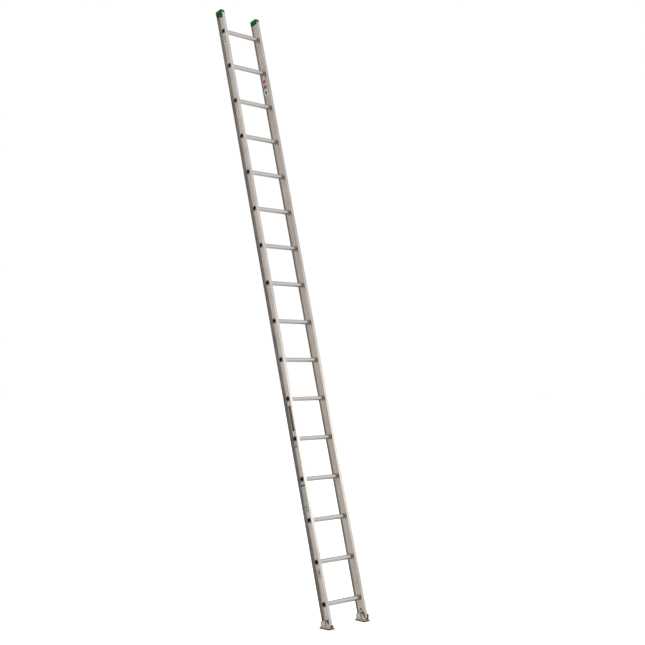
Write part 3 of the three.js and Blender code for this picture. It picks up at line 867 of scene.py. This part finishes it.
def add_fasteners():
    pivot = LEANING @ Matrix.Translation((0, 0, -PIVOT_DROP * MM)) @ Matrix.Rotation(LEAN, 4, "X")
    parts = {
        "pivot_bolt": bolt_shape(),
        "outer_washer": washer_shape(EAR_FACE_OUT - WASHER_GAP - WASHER),
        "inner_washer": washer_shape(EAR_FACE_IN + WASHER_GAP),
        "pivot_nut": hexagon_shape(NUT_SEAT, NUT_SEAT + NUT_HEIGHT),
        "pivot_sleeve": sleeve_shape(),
    }
    for side in SIDES:
        for part, shape in parts.items():
            mesh = make_mesh(f"{side}_{part}_steel", *across(shape, side))
            put_mesh(mesh, pivot, "frame", ZINC, "steel", f"{side}_{part}")
        cap_rivet = together(
            rivet_shape(TONGUE_FACE, CAP_RIVET_HEAD, RIVET_SHANK, WEB_INNER),
            rivet_shape(WEB_INNER, CAP_RIVET_HEAD, RIVET_SHANK, TONGUE_FACE, inwards=-1),
        )
        hung = moved(cap_rivet, z=RAIL_TOP - CAP_RIVET_DROP)
        mesh = make_mesh(f"{side}_cap_rivet_steel", *across(hung, side))
        put_mesh(mesh, LEANING, "frame", ZINC, "steel", f"{side}_cap_rivet")
        tail = WEB_INNER + RIVET_DOME
        dimple = rivet_shape(WEB_OUTER, BUTTON_RIVET_HEAD, BUTTON_RIVET_SHANK, tail)
        mesh = make_mesh(f"{side}_button_rivet_steel", *across(moved(dimple, z=-BUTTON_DROP), side))
        put_mesh(mesh, LEANING, "frame", ZINC, "steel", f"{side}_button_rivet")


def add_buttons():
    """Low turned domes on the inner faces of the webs."""
    face = WEB_INNER + BUTTON_LIFT
    top = face + BUTTON_HEIGHT - BUTTON_LIFT
    profile = [
        (face, 0),
        (face, BUTTON_RADIUS - 0.2),
        (face + 0.3, BUTTON_RADIUS),
        (face + 1.3, BUTTON_RADIUS),
        (face + 2.1, BUTTON_RADIUS - 0.6),
        (face + 2.8, BUTTON_RADIUS - 2),
        (face + 3.2, BUTTON_RADIUS - 4),
        (top, BUTTON_RADIUS - 6),
        (top, 0),
    ]
    dome = moved(turned(profile, 56), z=-BUTTON_DROP)
    for side in SIDES:
        mesh = make_mesh(f"{side}_button_moulding", *across(dome, side))
        put_mesh(mesh, LEANING, "frame", BUTTON_PLASTIC, "button", f"{side}_button")


# End caps: a crowned block with a skirt and a riveted tongue, moulded in one piece


def crown_shape():
    """The block on the rail top, drawn down into the rail so that its lower bevel can be cut off."""
    depth = 8
    back = HALF_DEPTH + CAP_MARGIN
    outline = rectangle(-CAP_MARGIN, FLANGE_WIDTH + CAP_MARGIN, -back, back, CAP_CORNER)
    return moved(sheet([outline], CAP_HEIGHT + depth, CAP_BEVEL), z=RAIL_TOP - depth)


def crown_tools():
    """What is cut off the crown: all below the rail top, and all outside its rounded upper front edge."""
    low, high = -CUT_MARGIN, FLANGE_WIDTH + CUT_MARGIN
    below = block(low, high, -RAIL_DEPTH, RAIL_DEPTH, RAIL_TOP - 20, RAIL_TOP + 0.1)
    front = -HALF_DEPTH - CAP_MARGIN
    top = RAIL_TOP + CAP_HEIGHT
    reach = CAP_FRONT_ROUND
    outline = arc(front + reach, top - reach, reach, math.pi, math.pi / 2)
    outline += [(front + reach, top + 1), (front - 1, top + 1), (front - 1, top - reach)]
    return [below, upright(sheet([outline], high - low, 0), low)]


def skirt_shapes():
    """The skirt's outer, inner and rear walls, and its fill beside the web."""
    low, high = RAIL_TOP - SKIRT_DROP, RAIL_TOP + CROWN_OVERLAP
    outer, inner = -CAP_MARGIN, FLANGE_WIDTH + CAP_MARGIN
    back = HALF_DEPTH + CAP_MARGIN
    return [
        block(outer, -CAP_GAP, -WEB_FLAT, back, low, high),
        block(FLANGE_WIDTH + CAP_GAP, inner, -HALF_DEPTH, back, low, high),
        block(outer, inner, HALF_DEPTH + CAP_GAP, back, low, high),
        block(outer, WEB_OUTER - CAP_GAP, -WEB_FLAT, WEB_FLAT, low, high),
    ]


def tongue_shape():
    """The riveted tongue down the web, with round lower corners."""
    half = TONGUE_WIDTH / 2
    middle = half - TONGUE_ROUND
    top = RAIL_TOP + CROWN_OVERLAP
    foot = RAIL_TOP - TONGUE_DROP + TONGUE_ROUND
    outline = [(half, top), (-half, top)]
    outline += arc(-middle, foot, TONGUE_ROUND, math.pi, 1.5 * math.pi)
    outline += arc(middle, foot, TONGUE_ROUND, -math.pi / 2, 0)
    return upright(sheet([outline], WEB_OUTER - CAP_GAP - TONGUE_FACE, 0.8), TONGUE_FACE)


def add_caps():
    for side in SIDES:
        tools = [across(tool, side) for tool in crown_tools()]
        crown = without(make_mesh("crown", *across(crown_shape(), side)), "crown", tools)
        skin = [([tuple(v.co / MM) for v in crown.vertices], [tuple(p.vertices) for p in crown.polygons])]
        bpy.data.meshes.remove(crown)
        skin += [across(shape, side) for shape in (*skirt_shapes(), tongue_shape())]
        mesh = moulded(f"{side}_end_cap_moulding", skin, 0.35, smoothing=3)
        mesh.transform(LEANING)
        put_mesh(mesh, Matrix(), "frame", CAP_PLASTIC, "cap", f"{side}_end_cap")


# Swivel shoes


def ear_outline(with_horn):
    outline = [(SHOE_REAR, PAD_THICKNESS)]
    back = SHOE_REAR - EAR_BACK_ROUND
    outline += arc(back, EAR_TOP - EAR_BACK_ROUND, EAR_BACK_ROUND, 0, math.pi / 2)
    outline += [(BOSS_SHOULDER, EAR_TOP)]
    outline += arc(0, PIVOT_HEIGHT, BOSS_RADIUS, BOSS_SPREAD, math.pi - BOSS_SPREAD / 2, 20)
    outline += [VALLEY]
    if with_horn:
        outline += arc(HORN_REAR - HORN_ROUND, HORN_TOP - HORN_ROUND, HORN_ROUND, 0, math.pi / 2)
        outline += [(SHOE_FRONT + HORN_CHAMFER, HORN_TOP), (SHOE_FRONT, HORN_TOP - 2 * HORN_CHAMFER)]
    else:
        outline += [(SHOE_FRONT, INNER_EAR_FRONT)]
    return outline + [(SHOE_FRONT, PAD_THICKNESS)]


def window_outline():
    """A slot below the pivot, in line with the rail."""
    run = -math.pi / 2 - LEAN
    ends = [(-d * math.sin(LEAN), PIVOT_HEIGHT - d * math.cos(LEAN)) for d in (WINDOW_START, WINDOW_END)]
    outline = arc(*ends[0], WINDOW_HALF, run + math.pi / 2, run + 1.5 * math.pi)
    return outline + arc(*ends[1], WINDOW_HALF, run - math.pi / 2, run + math.pi / 2)


def bracket_shapes():
    """The plate, the two ears with their holes, and a small weld along each foot of an ear."""
    edge = PAD_OVERHANG - PLATE_INSET
    outline = rectangle(-edge, FLANGE_WIDTH + edge, SHOE_FRONT, SHOE_REAR, PLATE_CORNER)
    shapes = [moved(sheet([outline], PLATE_TOP - PAD_THICKNESS, 0.5), z=PAD_THICKNESS)]
    bolt_hole = arc(0, PIVOT_HEIGHT, BOLT_HOLE, 0, 2 * math.pi, 32)[:-1]
    for with_horn, x in ((True, EAR_FACE_OUT), (False, FLANGE_WIDTH + EAR_GAP)):
        outlines = [ear_outline(with_horn), window_outline(), bolt_hole]
        shapes.append(upright(sheet(outlines, EAR_THICKNESS, 0.4), x))
        shapes.append(weld_shape(x, -1))
        shapes.append(weld_shape(x + EAR_THICKNESS, 1))
    return shapes


def weld_shape(x, sign):
    """A three-sided bead in the corner between the plate and the face of an ear at x."""
    low = PLATE_TOP - 0.5
    corners = [(x, low), (x + sign * WELD_FOOT, low), (x, PLATE_TOP + WELD_FOOT)]
    verts = [(u, y, v) for y in (SHOE_FRONT + 1, SHOE_REAR - 1) for u, v in corners]
    return verts, [(0, 1, 2), (3, 5, 4), (0, 3, 4, 1), (1, 4, 5, 2), (2, 5, 3, 0)]


PAD_RIVETS = {
    "front_outer": (-PAD_RIVET_IN, SHOE_FRONT + PAD_RIVET_ALONG),
    "front_inner": (FLANGE_WIDTH + PAD_RIVET_IN, SHOE_FRONT + PAD_RIVET_ALONG),
    "rear_outer": (-PAD_RIVET_IN, SHOE_REAR - PAD_RIVET_ALONG),
    "rear_inner": (FLANGE_WIDTH + PAD_RIVET_IN, SHOE_REAR - PAD_RIVET_ALONG),
}


def pad_mesh(side):
    """A rubber block with a bevelled edge and seven grooves across its sole."""
    length = SHOE_REAR - SHOE_FRONT
    outer, inner = -PAD_OVERHANG, FLANGE_WIDTH + PAD_OVERHANG
    outline = rectangle(outer, inner, SHOE_FRONT - PLATE_INSET, SHOE_REAR + PLATE_INSET, PAD_CORNER)
    body = make_mesh("pad", *across(sheet([outline], PAD_THICKNESS - 0.05, PAD_BEVEL), side))
    tools = []
    for k in range(PAD_GROOVES):
        y = SHOE_FRONT + length * (k + 0.5) / PAD_GROOVES
        front, rear = y - PAD_GROOVE_HALF, y + PAD_GROOVE_HALF
        tools.append(across(block(outer - 2, inner + 2, front, rear, -1, PAD_GROOVE_DEPTH), side))
    return without(body, f"{side}_shoe_pad_rubber", tools)


def pad_rivet_shape():
    """An upright rivet on the shoe's plate, turned about X and then stood on end."""
    dome = [(0, 1), (0.5, 1), (1.1, 0.8), (1.6, 0.45), (RIVET_DOME, 0)]
    head = [(PLATE_TOP + rise, PAD_RIVET_HEAD * share) for rise, share in dome]
    shank = [(PAD_RIVET_TAIL, 0), (PAD_RIVET_TAIL, RIVET_SHANK), (PLATE_TOP, RIVET_SHANK)]
    verts, faces = turned(shank + head, 32)
    return [(-z, y, x) for x, y, z in verts], faces


def add_shoes():
    for side in SIDES:
        body = f"{side}_shoe"
        skin = [across(shape, side) for shape in bracket_shapes()]
        mesh = moulded(f"{side}_shoe_bracket_pressing", skin, 0.3, smoothing=2)
        put_mesh(mesh, SHOE, body, SHOE_METAL, "shoe", f"{side}_shoe_bracket")
        put_mesh(pad_mesh(side), SHOE, body, RUBBER, "rubber", f"{side}_shoe_pad")
        for place, (x, y) in PAD_RIVETS.items():
            rivet = moved(pad_rivet_shape(), x=x, y=y)
            mesh = make_mesh(f"{side}_pad_rivet_{place}_steel", *across(rivet, side))
            put_mesh(mesh, SHOE, body, ZINC, "steel", f"{side}_pad_rivet_{place}")


# Plain labels: film with generic shapes on it, and no lettering


def plate_place(node):
    """The middle and the half sizes of a CAD label plate, as (y, z) in the leaning frame."""
    inverse = LEANING.inverted()
    corners = [inverse @ v.co for v in frame["nodes"][node].data.vertices]
    low = [min(c[axis] for c in corners) / MM for axis in (1, 2)]
    high = [max(c[axis] for c in corners) / MM for axis in (1, 2)]
    middle = [(a + b) / 2 for a, b in zip(low, high)]
    half = [(b - a) / 2 for a, b in zip(low, high)]
    return middle, half


def film_piece(node, ground, prints, radius=FILM_CORNER):
    """A film over a CAD plate. A print is (material, outline), in shares of the film's half sizes."""
    (mid_y, mid_z), (half_y, half_z) = plate_place(node)
    side = "left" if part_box(node)[1].x < 0 else "right"
    face, outwards = (WEB_OUTER, -1) if side == "left" else (WEB_INNER, 1)

    def film(outline, start, thickness, bevel):
        verts, faces = sheet([outline], thickness, bevel)
        return [(face + outwards * (start + c), mid_y + a, mid_z + b) for a, b, c in verts], faces

    edge = rectangle(-half_y, half_y, -half_z, half_z, radius)
    layers = [(ground, film(edge, -FILM_SINK, FILM, FILM_BEVEL))]
    for layer, (material, outline) in enumerate(prints):
        scaled = [(u * half_y, v * half_z) for u, v in outline]
        layers.append((material, film(scaled, FILM - PRINT_SINK, PRINT + PRINT_STEP * layer, 0)))
    verts, faces = across(together(*(shape for _, shape in layers)), side)
    mesh = bpy.data.meshes.new(f"{node}_film")
    mesh.from_pydata([Vector(v) * MM for v in verts], [], faces)
    materials = list(dict.fromkeys(material for material, _ in layers))
    for material in materials:
        mesh.materials.append(material)
    owners = [materials.index(material) for material, shape in layers for _ in shape[1]]
    mesh.polygons.foreach_set("material_index", owners)
    face_outwards(mesh)
    put_mesh(mesh, LEANING, "frame", ground, "label", node)


def bar(u0, u1, v0, v1):
    """A plain rectangle."""
    return [(u0, v0), (u1, v0), (u1, v1), (u0, v1)]


def capsule(half_u, half_v, end=0.09, steps=10):
    """An upright bar with round ends."""
    top = [math.pi * k / steps for k in range(steps + 1)]
    outline = [(half_u * math.cos(a), half_v - end + end * math.sin(a)) for a in top]
    return outline + [(-u, -v) for u, v in outline]


def add_labels():
    film_piece(
        "label_top_plate",
        FILM_WHITE,
        [
            (INK_BLACK, bar(-0.80, -0.20, -0.05, 0.75)),
            (FILM_WHITE, bar(-0.62, -0.2, 0.22, 0.46)),
            (INK_BLACK, bar(0.16, 0.75, 0.45, 0.78)),
            (INK_BLACK, bar(0.16, 0.75, -0.05, 0.25)),
            (INK_BLACK, bar(-0.7, 0.7, -0.50, -0.32)),
            (FILM_GREY, bar(-0.6, 0.6, -0.76, -0.66)),
        ],
    )
    dashes = [(FILM_SILVER, bar(-0.15, 0.30, -0.74 + 0.2 * k, -0.69 + 0.2 * k)) for k in range(8)]
    film_piece("label_long_plate", FILM_SILVER, [(INK_BLACK, capsule(0.64, 0.97)), *dashes], radius=9)
    film_piece(
        "label_small_plate",
        FILM_SILVER,
        [
            (INK_BLACK, bar(-0.85, 0.9, -0.92, -0.56)),
            (INK_BLACK, bar(-0.1, 0.25, -0.5, 0.1)),
            (FILM_GREY, bar(-0.5, 0.3, 0.5, 0.7)),
        ],
    )
    lines = [(FILM_GREY, bar(-0.6, 0.6, 0.55 - 0.13 * k, 0.58 - 0.13 * k)) for k in range(7)]
    greens = [[(-0.3, -0.72), (0.6, -0.72), (0.15, -0.50)], bar(-0.5, 0.5, -0.92, -0.84)]
    film_piece(
        "label_size_plate",
        FILM_SILVER,
        [(INK_BLUE, bar(-0.98, 0.98, 0.76, 0.88)), *lines, *((INK_GREEN, shape) for shape in greens)],
    )
    film_piece(
        "label_foot_plate",
        FILM_GREY,
        [(FILM_SILVER, bar(-0.7, 0.7, -0.8, -0.2)), (INK_BLACK, bar(-0.6, 0.6, 0.2, 0.3))],
    )
    film_piece(
        "label_inner_plate",
        FILM_WHITE,
        [
            (FILM_MINT, bar(-0.94, 0.94, -0.30, 0.95)),
            (INK_RED, bar(-0.72, 0.72, 0.54, 0.90)),
            (INK_RED, bar(-0.72, 0.72, -0.16, 0.24)),
            (INK_BLACK, [(0.0, -0.36), (0.55, -0.62), (0.1, -0.94), (-0.55, -0.62)]),
        ],
    )


# Setting: a plain pale floor, a white backdrop, soft studio light, and the camera


def glowing(name, roughness, colour, strength):
    """A paint with a white glow, so that the ground stays pale out to the horizon."""
    paint = Shader(name, 0.0, roughness, colour)
    paint.principled.inputs["Emission Color"].default_value = (1, 1, 1, 1)
    paint.principled.inputs["Emission Strength"].default_value = strength
    return paint


def add_floor():
    mesh = bpy.data.meshes.new("floor")
    reach = FLOOR_REACH
    corners = [(-reach, -reach, 0), (reach, -reach, 0), (reach, reach, 0), (-reach, reach, 0)]
    mesh.from_pydata(corners, [], [(0, 1, 2, 3)])
    floor = linked("floor", mesh)
    paint = glowing("floor_paint", 0.9, (0.6, 0.6, 0.6), FLOOR_GLOW)
    paint.principled.inputs["Specular IOR Level"].default_value = 0.1
    mesh.materials.append(paint.material)
    floor.visible_glossy = False
    floor.visible_diffuse = False


def add_backdrop():
    """A wide white sphere that only the camera sees."""
    steps = 16
    run = [math.pi * k / steps for k in range(steps + 1)]
    verts, faces = turned([(math.cos(a), math.sin(a)) for a in run], 32)
    mesh = make_mesh("backdrop", [tuple(c * BACKDROP_REACH / MM for c in v) for v in verts], faces)
    backdrop = linked("backdrop", mesh)
    mesh.materials.append(glowing("backdrop_paint", 1.0, (0, 0, 0), 1).material)
    for ray in ("diffuse", "glossy", "transmission", "shadow", "volume_scatter"):
        setattr(backdrop, "visible_" + ray, False)


def add_world():
    """Light from all round: more from the right, above and below, and less from the camera's side."""
    world = bpy.data.worlds.new("studio")
    world.use_nodes = True
    bpy.context.scene.world = world
    tree = world.node_tree
    background = tree.nodes["Background"]
    direction = tree.nodes.new("ShaderNodeTexCoord").outputs["Generated"]

    def towards(vector, from_low, from_high, low, high):
        """A number that goes from low to high as the direction turns towards the vector."""
        dot = tree.nodes.new("ShaderNodeVectorMath")
        dot.operation = "DOT_PRODUCT"
        tree.links.new(direction, dot.inputs[0])
        dot.inputs[1].default_value = vector
        ramp = tree.nodes.new("ShaderNodeMapRange")
        ramp.interpolation_type = "SMOOTHSTEP"
        tree.links.new(dot.outputs["Value"], ramp.inputs[0])
        for socket, value in zip(ramp.inputs[1:5], (from_low, from_high, low, high)):
            socket.default_value = value
        return ramp.outputs[0]

    def number(operation, a, b):
        made = tree.nodes.new("ShaderNodeMath")
        made.operation = operation
        tree.links.new(a, made.inputs[0])
        tree.links.new(b, made.inputs[1])
        return made.outputs[0]

    level = towards(RIGHTWARDS, -1, 1, LEFT_LIGHT, RIGHT_LIGHT)
    level = number("ADD", level, towards((0, 0, 1), 0.25, 0.95, 0, SKY_LIGHT))
    level = number("MULTIPLY", level, towards(NEARWARDS, 0.1, 1, 1, NEAR_SHARE))
    level = number("MULTIPLY", level, towards((0, 0, -1), 0, 0.5, 1, GROUND_SHARE))
    tree.links.new(level, background.inputs["Strength"])
    background.inputs["Color"].default_value = (1.0, 0.99, 0.975, 1)


def add_key_light():
    lamp = bpy.data.lights.new("key", "AREA")
    lamp.shape = "RECTANGLE"
    lamp.size, lamp.size_y = KEY_SIZE
    lamp.energy = KEY_WATTS
    holder = linked("key", lamp)
    holder.location = KEY_PLACE
    aim = Vector(KEY_TARGET) - Vector(KEY_PLACE)
    holder.rotation_euler = aim.to_track_quat("-Z", "Y").to_euler()


def add_camera():
    camera = bpy.data.cameras.new("camera")
    camera.lens = CAMERA_LENS
    camera.clip_end = 200
    holder = linked("camera", camera)
    holder.location = CAMERA_PLACE
    holder.rotation_euler = (math.radians(90 + CAMERA_PITCH), 0, math.radians(-CAMERA_HEADING))
    bpy.context.scene.camera = holder
    bpy.context.scene.view_settings.view_transform = "Standard"


add_rails()
add_rungs()
add_fasteners()
add_buttons()
add_caps()
add_shoes()
add_labels()
add_floor()
add_backdrop()
add_world()
add_key_light()
add_camera()
